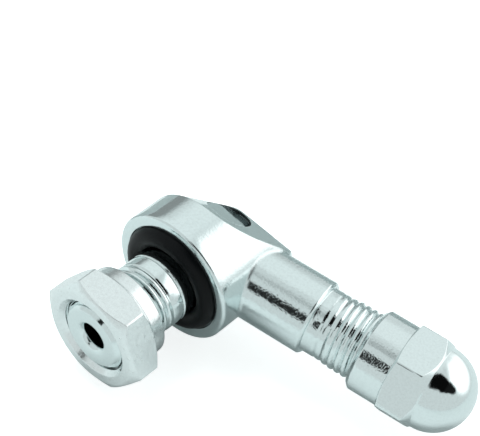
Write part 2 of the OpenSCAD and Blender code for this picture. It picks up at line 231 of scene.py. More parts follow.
roof_rows = len(roof[0])
head_points = [p for column in roof for p in column]
head_faces = []
for j in range(len(roof) - 1):
    for k in range(roof_rows - 1):
        here, ahead = j * roof_rows + k, (j + 1) * roof_rows + k
        head_faces.append((here, here + 1, ahead + 1, ahead))
wall_points, wall_faces = skin(wall)
head_faces += [tuple(len(head_points) + v for v in face) for face in wall_faces]
elbow = solid("elbow", head_points + wall_points, head_faces)

# Shallow round pocket in each cheek, in millimetres, its floor along the cheek
POCKET_R = 2.5
POCKET_DEPTH = 0.45
POCKET_X = 0.25
POCKET_H = 7.75
POCKET_OVERRUN = 1.0
POCKET_COLUMNS = 96


def carve(piece, operation, other):
    """Applies an exact boolean of another solid to a piece and deletes that solid."""
    step = piece.modifiers.new(operation, "BOOLEAN")
    step.operation, step.object, step.solver = operation, other, "EXACT"
    seen = piece.evaluated_get(bpy.context.evaluated_depsgraph_get())
    piece.data = bpy.data.meshes.new_from_object(seen)
    piece.modifiers.clear()
    bpy.data.objects.remove(other)


for side in (1, -1):
    open_end, sunk_end, walls = [], [], []
    for c in range(POCKET_COLUMNS):
        angle = TURN * c / POCKET_COLUMNS
        x = POCKET_X + POCKET_R * math.cos(angle)
        y = POCKET_H + POCKET_R * math.sin(angle)
        sunk = HEAD_R - (y - HEAD_WALL_H) / math.tan(CHEEK) - POCKET_DEPTH / math.sin(CHEEK)
        open_end.append((x, y, side * (HEAD_R + POCKET_OVERRUN)))
        sunk_end.append((x, y, side * sunk))
        ahead = (c + 1) % POCKET_COLUMNS
        walls.append((c, ahead, POCKET_COLUMNS + ahead, POCKET_COLUMNS + c))
    ends = [tuple(range(POCKET_COLUMNS)), tuple(range(POCKET_COLUMNS, 2 * POCKET_COLUMNS))]
    carve(elbow, "DIFFERENCE", solid("pocket", open_end + sunk_end, walls + ends))

# Spigot with its nut thread, in millimetres: distances from the rim seat toward the nut
SPIGOT_IN = -2.4
ROOT_R = 3.8
ROOT_END = 1.06
NECK_R = 4.0
NECK_STEP_ROUND = 0.06
NECK_LINE = 2.1
NECK_LINE_HALF = 0.14
NECK_LINE_DEPTH = 0.12
NECK_END = 3.5
SPIGOT_END = 11.5
SPIGOT_BEVEL = 0.6
SPIGOT_PITCH = 0.8
SPIGOT_GROOVE = 0.34
# Spigot's own axes: x along +X, y along +Z, z along -Y
ON_SPIGOT = Matrix(((1, 0, 0, 0), (0, 0, -1, 0), (0, 1, 0, 0), (0, 0, 0, 1)))

# Mesh of a thread: columns round it, rows to each turn, and its run-out as a share of the pitch
ROUND_COLUMNS = 160
THREAD_ROWS = 8
RUN_OUT = 0.4
ROUND_ANGLES = [TURN * j / ROUND_COLUMNS for j in range(ROUND_COLUMNS)]


def groove(z, angle, start, end, pitch, depth, run_in):
    """Depth of a right-handed rounded thread at height z, which fades in over run_in and out at its end."""
    phase = ((z - start) / pitch - angle / TURN) % 1.0
    valley = (0.5 + 0.5 * math.cos(TURN * phase)) ** 2
    fade = min(1.0, max(0.0, (z - start) / run_in), max(0.0, (end - z) / (RUN_OUT * pitch)))
    return depth * valley * fade


def threaded(name, angles, outsides, start, end, pitch, radius_at, after, place):
    """Solid whose columns have an outside, a thread from start to end and the points after it.

    The thread's rows follow its slope, so at the seam they meet one turn further on.
    """
    count = int((end - start) / pitch * THREAD_ROWS) + 2 * THREAD_ROWS
    columns = []
    for angle, outside in zip(angles, outsides):
        rows = list(outside)
        for k in range(count + 1):
            z = start + pitch * (k / THREAD_ROWS + angle / TURN - 1)
            z = min(end, max(start, z))
            rows.append((radius_at(z, angle), z))
        rows += after
        columns.append([(r * math.cos(angle), r * math.sin(angle), z) for r, z in rows])
    first = len(outsides[0])
    last = first + count
    seam = [min(row + THREAD_ROWS, last) if first <= row <= last else row for row in range(len(rows))]
    return solid(name, *skin(columns, seam), place)


def spigot_radius(z, angle):
    """Radius of the spigot, threaded and bevelled at its end."""
    thread = groove(z, angle, NECK_END, SPIGOT_END, SPIGOT_PITCH, SPIGOT_GROOVE, SPIGOT_PITCH)
    return min(NECK_R - thread, NECK_R - SPIGOT_BEVEL + SPIGOT_END - z)


neck_start = ROOT_END + NECK_R - ROOT_R
neck = [
    (0, SPIGOT_IN), (ROOT_R, SPIGOT_IN), (ROOT_R, ROOT_END),
    (NECK_R - NECK_STEP_ROUND, neck_start - NECK_STEP_ROUND), (NECK_R, neck_start + NECK_STEP_ROUND),
    (NECK_R, NECK_LINE - NECK_LINE_HALF), (NECK_R - NECK_LINE_DEPTH, NECK_LINE),
    (NECK_R, NECK_LINE + NECK_LINE_HALF)]
carve(elbow, "UNION", threaded(
    "spigot", ROUND_ANGLES, [neck] * ROUND_COLUMNS, NECK_END, SPIGOT_END, SPIGOT_PITCH,
    spigot_radius, [(0, SPIGOT_END)], ON_SPIGOT))

# Arm with its shoulder, relief and cap thread, in millimetres: distances along its axis
# from the spigot's axis
ARM_RISE = 5.45
ARM_TILT = math.radians(10)
ARM_IN = 1.2
ARM_R = 4.2
SHOULDER = 14.1
SHOULDER_BEVEL = 0.25
SHOULDER_ROUND = 0.2
RELIEF_R = 3.7
RELIEF_ROUND = 0.1
RELIEF_END = 16.2
RELIEF_LEAD = 0.2
THREAD_START = 15.0
THREAD_RUN_IN = 2.4
STEM_FULL = 17.4
STEM_R = 3.85
STEM_END = 27.5
STEM_LEAD = 0.6
STEM_PITCH = 0.794
STEM_GROOVE = 0.24
# Arm's own axes: x along -Z, z along the arm
ON_ARM = Matrix((
    (0, -math.sin(ARM_TILT), math.cos(ARM_TILT), 0),
    (0, math.cos(ARM_TILT), math.sin(ARM_TILT), ARM_RISE),
    (-1, 0, 0, 0),
    (0, 0, 0, 1)))


def stem_radius(z, angle):
    """Radius of the stem, relieved toward the shoulder, threaded and bevelled at its end."""
    thread = groove(z, angle, THREAD_START, STEM_END, STEM_PITCH, STEM_GROOVE, THREAD_RUN_IN)
    relief = (STEM_R - RELIEF_R) * min(1.0, max(0.0, (STEM_FULL - z) / (STEM_FULL - RELIEF_END)))
    return min(STEM_R - thread - relief, STEM_R - STEM_LEAD + STEM_END - z)


arm = rounded_profile([
    (0, ARM_IN, 0), (ARM_R, ARM_IN, 0), (ARM_R, SHOULDER - SHOULDER_BEVEL, SHOULDER_ROUND),
    (ARM_R - SHOULDER_BEVEL, SHOULDER, RELIEF_ROUND), (RELIEF_R, SHOULDER, RELIEF_ROUND),
    (RELIEF_R, THREAD_START - RELIEF_LEAD, 0)])
carve(elbow, "UNION", threaded(
    "arm", ROUND_ANGLES, [arm] * ROUND_COLUMNS, THREAD_START, STEM_END, STEM_PITCH,
    stem_radius, [(0, STEM_END)], ON_ARM))

# Air bore up the spigot with a rounded mouth, and the core's stepped bore in the stem
AIR_R = 1.45
AIR_MOUTH_R = 2.15
AIR_TOP = 7.3
ARM_BORE_R = 1.35
ARM_BORE_IN = 0.3
VALVE_ROOM_R = 2.05
VALVE_ROOM_END = 12.75
VALVE_ROOM_BEVEL = 0.3
SEAT_CONE_IN = 19.8
SEAT_CONE_OUT = 22.4
CORE_BORE_R = 2.59
BORE_OVERRUN = 0.5
BORE_COLUMNS = 96


def turned(name, profile, place, columns):
    """Solid of revolution from (radius, height) points about an axis."""
    ring = []
    for j in range(columns):
        angle = TURN * j / columns
        ring.append([(r * math.cos(angle), r * math.sin(angle), z) for r, z in profile])
    return solid(name, *skin(ring), place)


mouth_round = AIR_MOUTH_R - AIR_R
air_bore = [(0, -AIR_TOP), (AIR_R, -AIR_TOP)]
for k in range(ROUND_STEPS + 1):
    angle = TURN / 4 * k / ROUND_STEPS
    air_bore.append((AIR_MOUTH_R - mouth_round * math.cos(angle),
                     SPIGOT_END - mouth_round + mouth_round * math.sin(angle)))
air_bore += [(AIR_MOUTH_R, SPIGOT_END + BORE_OVERRUN), (0, SPIGOT_END + BORE_OVERRUN)]
carve(elbow, "DIFFERENCE", turned("air_bore", air_bore, ON_SPIGOT, BORE_COLUMNS))
core_bore = [
    (0, ARM_BORE_IN), (ARM_BORE_R, ARM_BORE_IN), (ARM_BORE_R, VALVE_ROOM_END),
    (VALVE_ROOM_R - VALVE_ROOM_BEVEL, VALVE_ROOM_END), (VALVE_ROOM_R, VALVE_ROOM_END + VALVE_ROOM_BEVEL),
    (VALVE_ROOM_R, SEAT_CONE_IN), (CORE_BORE_R, SEAT_CONE_OUT),
    (CORE_BORE_R, STEM_END + BORE_OVERRUN), (0, STEM_END + BORE_OVERRUN)]
carve(elbow, "DIFFERENCE", turned("core_bore", core_bore, ON_ARM, BORE_COLUMNS))
weld(elbow.data)


def linear(hex_colour):
    """sRGB hex colour as a linear RGBA colour."""
    levels = [int(hex_colour[i:i + 2], 16) / 255 for i in (1, 3, 5)]
    return [c / 12.92 if c <= 0.04045 else ((c + 0.055) / 1.055) ** 2.4 for c in levels] + [1.0]


def add_node(tree, kind, inputs=(), **settings):
    """Adds a node, sets its properties, and sets or links its inputs."""
    node = tree.nodes.new(kind)
    for name, value in settings.items():
        setattr(node, name, value)
    for socket, value in dict(inputs).items():
        if isinstance(value, bpy.types.NodeSocket):
            tree.links.new(value, node.inputs[socket])
        else:
            node.inputs[socket].default_value = value
    return node


def new_material(name):
    """Empty material and its node tree."""
    material = bpy.data.materials.new(name)
    material.use_nodes = True
    material.node_tree.nodes.clear()
    return material, material.node_tree


def per_mm(size):
    """Scale of a pattern in object coordinates whose grain is size millimetres wide."""
    return 1 / (size * MM)


# Plating: the levels that noise mostly lies between, how far haze changes the roughness,
# the levels where dulling starts and is full, and the share of the colour that it leaves.
# Sockets 6, 7 and 2 of a Mix node are its two colours and its mixed colour.
MICRON = MM / 1000
NOISE_LOW, NOISE_HIGH = 0.3, 0.7
HAZE = 0.25
DULL_LOW, DULL_HIGH = 0.4, 0.75
DULLED = 0.94
COLOUR_A, COLOUR_B, COLOUR_OUT = 6, 7, 2


def plated_metal(name, colour, roughness, ripple, ripple_depth, grain, grain_depth, edge):
    """Plated metal: ripple and grain are widths in mm, their depths in micrometres, edge a rounding in mm.

    Real polishing marks are a few hundredths of a millimetre wide and too fine to show,
    so the grain is drawn as coarse as it needs to be seen.
    """
    material, tree = new_material(name)
    place = add_node(tree, "ShaderNodeTexCoord", name="place").outputs["Object"]
    wave = add_node(tree, "ShaderNodeTexNoise", {"Vector": place, "Scale": per_mm(ripple), "Detail": 1.0})
    pits = add_node(tree, "ShaderNodeTexNoise", {"Vector": place, "Scale": per_mm(grain), "Detail": 2.0})
    soft_edge = add_node(tree, "ShaderNodeBevel", {"Radius": edge * MM}, samples=6, name="soft_edge")
    rippled = add_node(tree, "ShaderNodeBump", {
        "Height": wave.outputs[0], "Distance": ripple_depth * MICRON, "Normal": soft_edge.outputs[0]})
    grained = add_node(tree, "ShaderNodeBump", {
        "Height": pits.outputs[0], "Distance": grain_depth * MICRON,
        "Normal": rippled.outputs[0]}, name="grained")
    haze = add_node(tree, "ShaderNodeMapRange", {
        "Value": pits.outputs[0], "From Min": NOISE_LOW, "From Max": NOISE_HIGH,
        "To Min": roughness * (1 - HAZE), "To Max": roughness * (1 + HAZE)})
    dulling = add_node(tree, "ShaderNodeMapRange", {
        "Value": pits.outputs[0], "From Min": DULL_LOW, "From Max": DULL_HIGH, "To Min": 0.0, "To Max": 1.0})
    dulled = [part * DULLED for part in linear(colour)[:3]] + [1.0]
    mottled = add_node(tree, "ShaderNodeMix", {
        0: dulling.outputs[0], COLOUR_A: linear(colour), COLOUR_B: dulled}, data_type="RGBA")
    shader = add_node(tree, "ShaderNodeBsdfPrincipled", {
        "Base Color": mottled.outputs[COLOUR_OUT], "Metallic": 1.0,
        "Roughness": haze.outputs[0], "Normal": grained.outputs[0]})
    add_node(tree, "ShaderNodeOutputMaterial", {"Surface": shader.outputs[0]})
    return material


def shade(piece, material, crease):
    """Smooth shading, with edges crisp above the crease angle and normals that follow the larger faces."""
    piece.data.materials.clear()
    piece.data.materials.append(material)
    piece.data.shade_smooth()
    piece.data.set_sharp_from_angle(angle=math.radians(crease))
    weigh = piece.modifiers.new("weigh_normals", "WEIGHTED_NORMAL")
    weigh.keep_sharp = True


# Bright chrome on the polished forging: mirrors its surroundings, with a slight orange-peel ripple.
# The head is polished finer than the arm, and plating fills the corner where the arm leaves it.
PLATED_EDGE = 0.10
ARM_ROOT = 7.6
ARM_ROOT_REACH = 1.4
ARM_FILLET = 0.5
HEAD_GRAIN = 0.4
bright_chrome = plated_metal(
    "bright_chrome", colour="#E4EEEE", roughness=0.06, ripple=1.5, ripple_depth=7.0,
    grain=0.28, grain_depth=21.0, edge=PLATED_EDGE)
tree = bright_chrome.node_tree
arm_way = ON_ARM.col[2].to_3d()
along_arm = add_node(tree, "ShaderNodeVectorMath", {
    0: tree.nodes["place"].outputs["Object"], 1: arm_way}, operation="DOT_PRODUCT").outputs["Value"]
at_root = add_node(tree, "ShaderNodeMath", {
    0: along_arm, 1: ARM_ROOT * MM, 2: ARM_ROOT_REACH * MM}, operation="COMPARE")
fillet = add_node(tree, "ShaderNodeMath", {
    0: at_root.outputs[0], 1: ARM_FILLET * MM, 2: PLATED_EDGE * MM}, operation="MULTIPLY_ADD")
tree.links.new(fillet.outputs[0], tree.nodes["soft_edge"].inputs["Radius"])
grain_left = add_node(tree, "ShaderNodeMapRange", {
    "Value": along_arm, "From Min": ARM_ROOT * MM, "From Max": (ARM_ROOT + ARM_ROOT_REACH) * MM,
    "To Min": HEAD_GRAIN, "To Max": 1.0})
tree.links.new(grain_left.outputs[0], tree.nodes["grained"].inputs["Strength"])
shade(elbow, bright_chrome, crease=28)

# Pocket walls: the polishing wheel doesn't reach them, so their chrome stays dull, and their darker colour
# is painted shade in the recess.
# A wall is told from the pocket's floor by its normal, which turns away from the cheek's.
WALL_SLACK = 0.02
FLOOR_LEAN = 0.1
FLOOR_FACING = 0.9
shaded_pocket_chrome = plated_metal(
    "dull_chrome_painted_shade", colour="#626A6B", roughness=0.3, ripple=1.0, ripple_depth=10.0,
    grain=0.2, grain_depth=10.0, edge=0.05)
elbow.data.materials.append(shaded_pocket_chrome)
# Faces of the pockets' walls take the darker chrome, whose colour is painted shade
for face in elbow.data.polygons:
    x, y, z = face.center / MM
    above_cheek = (y - HEAD_WALL_H) * math.cos(CHEEK) - (HEAD_R - abs(z)) * math.sin(CHEEK)
    in_round = math.hypot(x - POCKET_X, y - POCKET_H) < POCKET_R + WALL_SLACK
    in_pocket = in_round and above_cheek < -WALL_SLACK and abs(z) > RIDGE_HALF
    facing = face.normal.y * math.cos(CHEEK) + abs(face.normal.z) * math.sin(CHEEK)
    if in_pocket and (abs(face.normal.x) > FLOOR_LEAN or facing < FLOOR_FACING):
        face.material_index = 1
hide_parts("elbow_body")
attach(elbow, "elbow")

# Rim seal: a moulded black rubber ring that is pushed into the recess under the head
# and squeezed against the rim's outer face as the nut is tightened. It is matt, with a soft
# sheen along its round back.
RING_MID_R = 5.01
RING_R = 1.15
RING_Y = 0.19
RING_SECTION = 40
ring_section = []
for k in range(RING_SECTION):
    angle = TURN * k / RING_SECTION
    ring_section.append((RING_MID_R + RING_R * math.cos(angle), RING_R * math.sin(angle) - RING_Y))
rim_seal = turned("rim_seal", ring_section + ring_section[:1], ON_SPIGOT, ROUND_COLUMNS)


def plain_finish(name, colour, metallic, roughness, grain, grain_depth, specular=0.5):
    """Moulded, turned or drawn finish: roughness from its smoothest to its dullest spots, grain in mm,
    its depth in micrometres. Finer grain than this is too fine to show, so it is drawn this coarse.
    """
    material, tree = new_material(name)
    place = add_node(tree, "ShaderNodeTexCoord").outputs["Object"]
    noise = add_node(tree, "ShaderNodeTexNoise", {"Vector": place, "Scale": per_mm(grain), "Detail": 3.0})
    bump = add_node(tree, "ShaderNodeBump", {
        "Height": noise.outputs[0], "Distance": grain_depth * MICRON})
    blur = add_node(tree, "ShaderNodeMapRange", {
        "Value": noise.outputs[0], "From Min": NOISE_LOW, "From Max": NOISE_HIGH,
        "To Min": roughness[0], "To Max": roughness[1]})
    shader = add_node(tree, "ShaderNodeBsdfPrincipled", {
        "Base Color": linear(colour), "Metallic": metallic, "Roughness": blur.outputs[0],
        "Normal": bump.outputs[0], "Specular IOR Level": specular})
    add_node(tree, "ShaderNodeOutputMaterial", {"Surface": shader.outputs[0]})
    return material


# Moulded black rubber: nearly black and dull, with a fine mould grain
moulded_rubber = plain_finish(
    "moulded_black_rubber", colour="#06080A", metallic=0.0, roughness=(0.32, 0.46),
    grain=0.12, grain_depth=4.0, specular=0.14)
shade(rim_seal, moulded_rubber, crease=60)
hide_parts("rim_seal_ring")
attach(rim_seal, "elbow")

# Rim nut: a hexagon nut with a round collar toward the rim, cut from bar and plated.
# It runs on the spigot's thread and clamps the rim against the seal.
NUT_APOTHEM = 5.9
NUT_CORNER_ROUND = 0.35
NUT_TURN = math.radians(-5)
NUT_OUT = 11.6
NUT_STEP = 7.55
NUT_IN = 6.10
NUT_COLLAR_R = 5.15
NUT_COLLAR_ROUND = 0.12
NUT_FACE_R = 5.65
NUT_EDGE_ROUND = 0.08
NUT_BEVEL_ROUND = 0.06
NUT_BEVEL_SLOPE = math.tan(math.radians(30))
NUT_BACK_SLOPE = math.tan(math.radians(35))
NUT_BORE_R = 4.12
NUT_MOUTH = 0.5
NUT_SINK_W = 0.65
NUT_SINK_H = 0.5
NUT_SINK_ROUND = 0.05
NUT_THREAD_START = NUT_IN + NUT_SINK_H
NUT_THREAD_END = NUT_OUT - NUT_MOUTH
INNER_GROOVE = 0.3
EDGE_STEPS = 3
FLAT_COLUMNS = 14
CORNER_COLUMNS = 4


def hexagon(apothem, rounding, turn):
    """Column angles and radii of a hexagon with rounded corners, the first corner at turn radians."""
    mid = (apothem - rounding) / math.cos(math.pi / 6)
    edge = math.atan2(rounding / 2, mid + rounding * math.cos(math.pi / 6))
    ring = []
    for corner in range(6):
        middle = turn + corner * TURN / 6
        for k in range(CORNER_COLUMNS):
            off = edge * (2 * k / CORNER_COLUMNS - 1)
            across = mid * math.sin(off)
            ring.append((middle + off, mid * math.cos(off) + math.sqrt(rounding ** 2 - across ** 2)))
        for k in range(FLAT_COLUMNS):
            off = edge + (TURN / 6 - 2 * edge) * k / FLAT_COLUMNS
            ring.append((middle + off, apothem / math.cos(off - math.pi / 6)))
    return zip(*sorted((angle % TURN, radius) for angle, radius in ring))


def nut_outside(radius):
    """Outer face, bevel, flat, back bevel, collar and countersink of the nut at one column."""
    return rounded_profile([
        (NUT_BORE_R + NUT_MOUTH, NUT_OUT, 0), (NUT_FACE_R, NUT_OUT, NUT_EDGE_ROUND),
        (radius, NUT_OUT - (radius - NUT_FACE_R) * NUT_BEVEL_SLOPE, NUT_BEVEL_ROUND),
        (radius, NUT_STEP + (radius - NUT_COLLAR_R) * NUT_BACK_SLOPE, NUT_EDGE_ROUND),
        (NUT_COLLAR_R, NUT_STEP, NUT_EDGE_ROUND), (NUT_COLLAR_R, NUT_IN, NUT_COLLAR_ROUND),
        (NUT_BORE_R + NUT_SINK_W, NUT_IN, NUT_SINK_ROUND), (NUT_BORE_R, NUT_IN + NUT_SINK_H, 0)], EDGE_STEPS)


def nut_bore(z, angle):
    """Radius of the nut's threaded bore."""
    return NUT_BORE_R + groove(
        z, angle, NUT_THREAD_START, NUT_THREAD_END, SPIGOT_PITCH, INNER_GROOVE, SPIGOT_PITCH)


nut_angles, nut_radii = hexagon(NUT_APOTHEM, NUT_CORNER_ROUND, NUT_TURN)
nut = threaded(
    "rim_nut_turned", nut_angles, [nut_outside(radius) for radius in nut_radii],
    NUT_THREAD_START, NUT_THREAD_END, SPIGOT_PITCH, nut_bore, [(NUT_BORE_R + NUT_MOUTH, NUT_OUT)], ON_SPIGOT)

# Satin chrome: the same plating over a surface left as turned, so its mirror is blurred
satin_chrome = plated_metal(
    "satin_chrome", colour="#ECF2F2", roughness=0.22, ripple=1.2, ripple_depth=12.0,
    grain=0.35, grain_depth=11.0, edge=PLATED_EDGE)
shade(nut, satin_chrome, crease=24)
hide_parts("rim_nut")
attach(nut, "nut")

# Cap: a screw cap with a round skirt, a hexagon for the fingers or a key and a domed end,
# turned from bar, threaded inside and plated bright.
CAP_MOUTH = 19.93
CAP_MOUTH_BEVEL = 0.45
CAP_MOUTH_ROUND = 0.08
CAP_R = 4.6
CAP_SKIRT_ROUND = 0.2
CAP_HEX_START = 23.73
CAP_HEX_END = 27.78
CAP_APOTHEM = 4.75
CAP_CORNER_ROUND = 0.3
CAP_TURN = math.radians(33)
CAP_FRONT_ROUND = 0.05
CAP_REAR_ROUND = 0.06
CAP_REAR_SLOPE = 0.4
CAP_BORE_R = 3.97
CAP_BORE_END = 27.5
GASKET_ROOM_R = 3.64
GASKET_ROOM_END = 28.78
DOME_STEPS = 20


def cap_outside(radius):
    """Dome, front bevel, flat, rear bevel, skirt and mouth of the cap at one column."""
    dome = [(CAP_R * math.sin(a), CAP_HEX_END + CAP_R * math.cos(a))
            for a in (math.pi / 2 * k / DOME_STEPS for k in range(DOME_STEPS))]
    rest = rounded_profile([
        (CAP_R, CAP_HEX_END, 0), (radius, CAP_HEX_END - (radius - CAP_R), CAP_FRONT_ROUND),
        (radius, CAP_HEX_START + (radius - CAP_R) * CAP_REAR_SLOPE, CAP_REAR_ROUND),
        (CAP_R, CAP_HEX_START, 0), (CAP_R, CAP_MOUTH + CAP_MOUTH_BEVEL, CAP_SKIRT_ROUND),
        (CAP_R - CAP_MOUTH_BEVEL, CAP_MOUTH, CAP_MOUTH_ROUND), (CAP_BORE_R, CAP_MOUTH, 0)], EDGE_STEPS)
    return dome + rest


def cap_bore(z, angle):
    """Radius of the cap's threaded bore."""
    return CAP_BORE_R + groove(z, angle, CAP_MOUTH, CAP_BORE_END, STEM_PITCH, INNER_GROOVE, STEM_PITCH)


cap_angles, cap_radii = hexagon(CAP_APOTHEM, CAP_CORNER_ROUND, CAP_TURN)
gasket_room = [(GASKET_ROOM_R, CAP_BORE_END), (GASKET_ROOM_R, GASKET_ROOM_END), (0, GASKET_ROOM_END)]
cap = threaded(
    "screw_cap", cap_angles, [cap_outside(radius) for radius in cap_radii],
    CAP_MOUTH, CAP_BORE_END, STEM_PITCH, cap_bore, gasket_room, ON_ARM)

# Bright chrome on turned bar: the crispest mirror of the valve, a little hazier on the skirt,
# where the grain of the turning is left
HEX_GRAIN = 0.2
HEX_GRAIN_REACH = 0.8
cap_chrome = plated_metal(
    "bright_chrome_on_turned_bar", colour="#E6EFEF", roughness=0.05, ripple=1.6, ripple_depth=7.0,
    grain=0.22, grain_depth=14.0, edge=PLATED_EDGE)
tree = cap_chrome.node_tree
along_arm = add_node(tree, "ShaderNodeVectorMath", {
    0: tree.nodes["place"].outputs["Object"], 1: arm_way}, operation="DOT_PRODUCT").outputs["Value"]
hex_along = (CAP_HEX_START + ARM_RISE * math.sin(ARM_TILT)) * MM
grain_left = add_node(tree, "ShaderNodeMapRange", {
    "Value": along_arm, "From Min": hex_along, "From Max": hex_along + HEX_GRAIN_REACH * MM,
    "To Min": 1.0, "To Max": HEX_GRAIN})
tree.links.new(grain_left.outputs[0], tree.nodes["grained"].inputs["Strength"])
shade(cap, cap_chrome, crease=24)
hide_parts("cap_shell")
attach(cap, "cap")

# Valve core and gasket: small turned brass pieces, a pressed steel cup, a red sealing sleeve
# and rubber seals. The core is screwed into the stem, and the gasket lies in the cap's end.

# Turned brass: a warm, slightly blurred mirror
turned_brass = plain_finish(
    "turned_brass", colour="#C9A45C", metallic=1.0, roughness=(0.224, 0.336), grain=0.15, grain_depth=2.0)
# Drawn spring steel: a grey sheen with fine die marks
drawn_steel = plain_finish(
    "drawn_spring_steel", colour="#BFC3C6", metallic=1.0, roughness=(0.24, 0.36), grain=0.1, grain_depth=1.5)
# Moulded red polymer: an even, half-matt red
red_sleeve = plain_finish(
    "moulded_red_polymer", colour="#9C3A30", metallic=0.0, roughness=(0.4, 0.6), grain=0.15, grain_depth=3.0)
# Cut sheet rubber: dull dark grey with a coarse cut face
cut_rubber = plain_finish(
    "cut_sheet_rubber", colour="#2A2A2D", metallic=0.0, roughness=(0.52, 0.78), grain=0.12, grain_depth=6.0)
CORE_FINISHES = {
    "core_swivel": turned_brass, "core_barrel": turned_brass, "core_pin": turned_brass,
    "core_plunger_cup": turned_brass, "core_spring_cup": drawn_steel,
    "core_packing": red_sleeve, "core_plunger_seal": moulded_rubber, "cap_gasket": cut_rubber}
for name, finish in CORE_FINISHES.items():
    core_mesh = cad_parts[name].data
    core_mesh.materials.clear()
    core_mesh.materials.append(finish)

# Core spring: a coil of drawn steel wire in the barrel, from its floor to the cup on the pin.
# The real spring shortens as the pin is pressed; this coil is built at its rest length. Sizes in
# millimetres, distances along the arm's axis.
SPRING_FOOT = 18.3
SPRING_TOP = 21.32
SPRING_R = 1.18
SPRING_TURNS = 4.5
WIRE_R = 0.14
WIRE_SIDES = 12
WIRE_STEPS = 144
spring_length = SPRING_TOP - SPRING_FOOT


def wire_point(step, off, rise):
    """Point of the spring's wire at a step along it, off the coil's radius and up from the wire's middle."""
    turn = TURN * SPRING_TURNS * step / WIRE_STEPS
    climb = (spring_length - 2 * WIRE_R) * step / WIRE_STEPS
    reach = SPRING_R + off
    return (reach * math.cos(turn), reach * math.sin(turn), SPRING_FOOT + WIRE_R + climb + rise)


wire = []
for k in range(WIRE_SIDES):
    across = TURN * k / WIRE_SIDES
    off, rise = WIRE_R * math.cos(across), WIRE_R * math.sin(across)
    line = [wire_point(step, off, rise) for step in range(WIRE_STEPS + 1)]
    wire.append([wire_point(0, 0, 0)] + line + [wire_point(WIRE_STEPS, 0, 0)])
spring = solid("core_coil", *skin(wire), ON_ARM)
shade(spring, drawn_steel, crease=60)
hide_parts("core_spring")
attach(spring, "elbow")
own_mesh(spring)

# Studio: a sheet of white paper under the valve, in a tent of white cloth, with a grey card and a
# soft lamp. Polished metal shows little but what stands round it, so the tent's walls and its dark
# opening draw the chrome. Sizes in metres.
FLOOR_HALF = 0.15
floor_z = CAD_BOX[0][2]
floor_corners = [(x * FLOOR_HALF, y * FLOOR_HALF, floor_z) for x, y in ((-1, -1), (1, -1), (1, 1), (-1, 1))]
floor_mesh = bpy.data.meshes.new("floor")
floor_mesh.from_pydata(floor_corners, [], [(0, 1, 2, 3)])
floor = bpy.data.objects.new("floor", floor_mesh)
bpy.context.scene.collection.objects.link(floor)

# White paper: white to the eye with a faint shadow under the valve, a soft pale grey in the metal
PAPER_GLOW = 0.75
PAPER_GLOW_IN_METAL = 0.02
paper, tree = new_material("white_paper_sweep")
ray = add_node(tree, "ShaderNodeLightPath").outputs
mirrored = add_node(tree, "ShaderNodeMath", {
    0: ray["Is Glossy Ray"], 1: ray["Is Transmission Ray"]}, operation="MAXIMUM")
mirror_glow = add_node(tree, "ShaderNodeMath", {
    0: mirrored.outputs[0], 1: PAPER_GLOW_IN_METAL}, operation="MULTIPLY")
glow_level = add_node(tree, "ShaderNodeMath", {
    0: ray["Is Camera Ray"], 1: PAPER_GLOW, 2: mirror_glow.outputs[0]}, operation="MULTIPLY_ADD")
matt = add_node(tree, "ShaderNodeBsdfDiffuse", {"Color": linear("#C2CACA")})
glow = add_node(tree, "ShaderNodeEmission", {"Color": linear("#FFFFFF"), "Strength": glow_level.outputs[0]})
paper_light = add_node(tree, "ShaderNodeAddShader", {0: matt.outputs[0], 1: glow.outputs[0]})
add_node(tree, "ShaderNodeOutputMaterial", {"Surface": paper_light.outputs[0]})
floor_mesh.materials.append(paper)

# Grey card that stands behind the valve on the left, as photographers set one for polished metal:
# it shows only in the metal, where it draws the head's edges against the white paper. In millimetres.
CARD_FOOT = [(-24, -4), (-24, 28), (22, 30)]
CARD_H = 12
low = [(x * MM, y * MM, floor_z) for x, y in CARD_FOOT]
high = [(x, y, z + CARD_H * MM) for x, y, z in low]
card_mesh = bpy.data.meshes.new("grey_card")
card_mesh.from_pydata(low + high, [], [(0, 1, 4, 3), (1, 2, 5, 4)])
card = bpy.data.objects.new("grey_card", card_mesh)
card.visible_camera = card.visible_diffuse = card.visible_shadow = False
bpy.context.scene.collection.objects.link(card)
grey_card, tree = new_material("matt_grey_card")
matt = add_node(tree, "ShaderNodeBsdfDiffuse", {"Color": linear("#CCD3D3")})
add_node(tree, "ShaderNodeOutputMaterial", {"Surface": matt.outputs[0]})
card_mesh.materials.append(grey_card)


def toward(elevation, azimuth):
    """Unit vector at an elevation and an azimuth in degrees; azimuth 0 is -Y, 90 is +X."""
    e, a = math.radians(elevation), math.radians(azimuth)
    return Vector((math.sin(a) * math.cos(e), -math.cos(a) * math.cos(e), math.sin(e)))


# Soft lamp behind the valve on the left, which lights the paper; the metal shows the tent instead
LAMP_SIDE = 0.3
LAMP_FAR = 0.6
LAMP_POWER = 3.5
LAMP_ELEVATION = 60
LAMP_AZIMUTH = -108
lamp_way = toward(LAMP_ELEVATION, LAMP_AZIMUTH)
lamp = bpy.data.lights.new("soft_lamp", "AREA")
lamp.size, lamp.energy = LAMP_SIDE, LAMP_POWER
lamp_holder = bpy.data.objects.new("soft_lamp", lamp)
lamp_holder.location = lamp_way * LAMP_FAR
lamp_holder.rotation_euler = lamp_way.to_track_quat("Z", "Y").to_euler()
lamp_holder.visible_glossy = False
bpy.context.scene.collection.objects.link(lamp_holder)

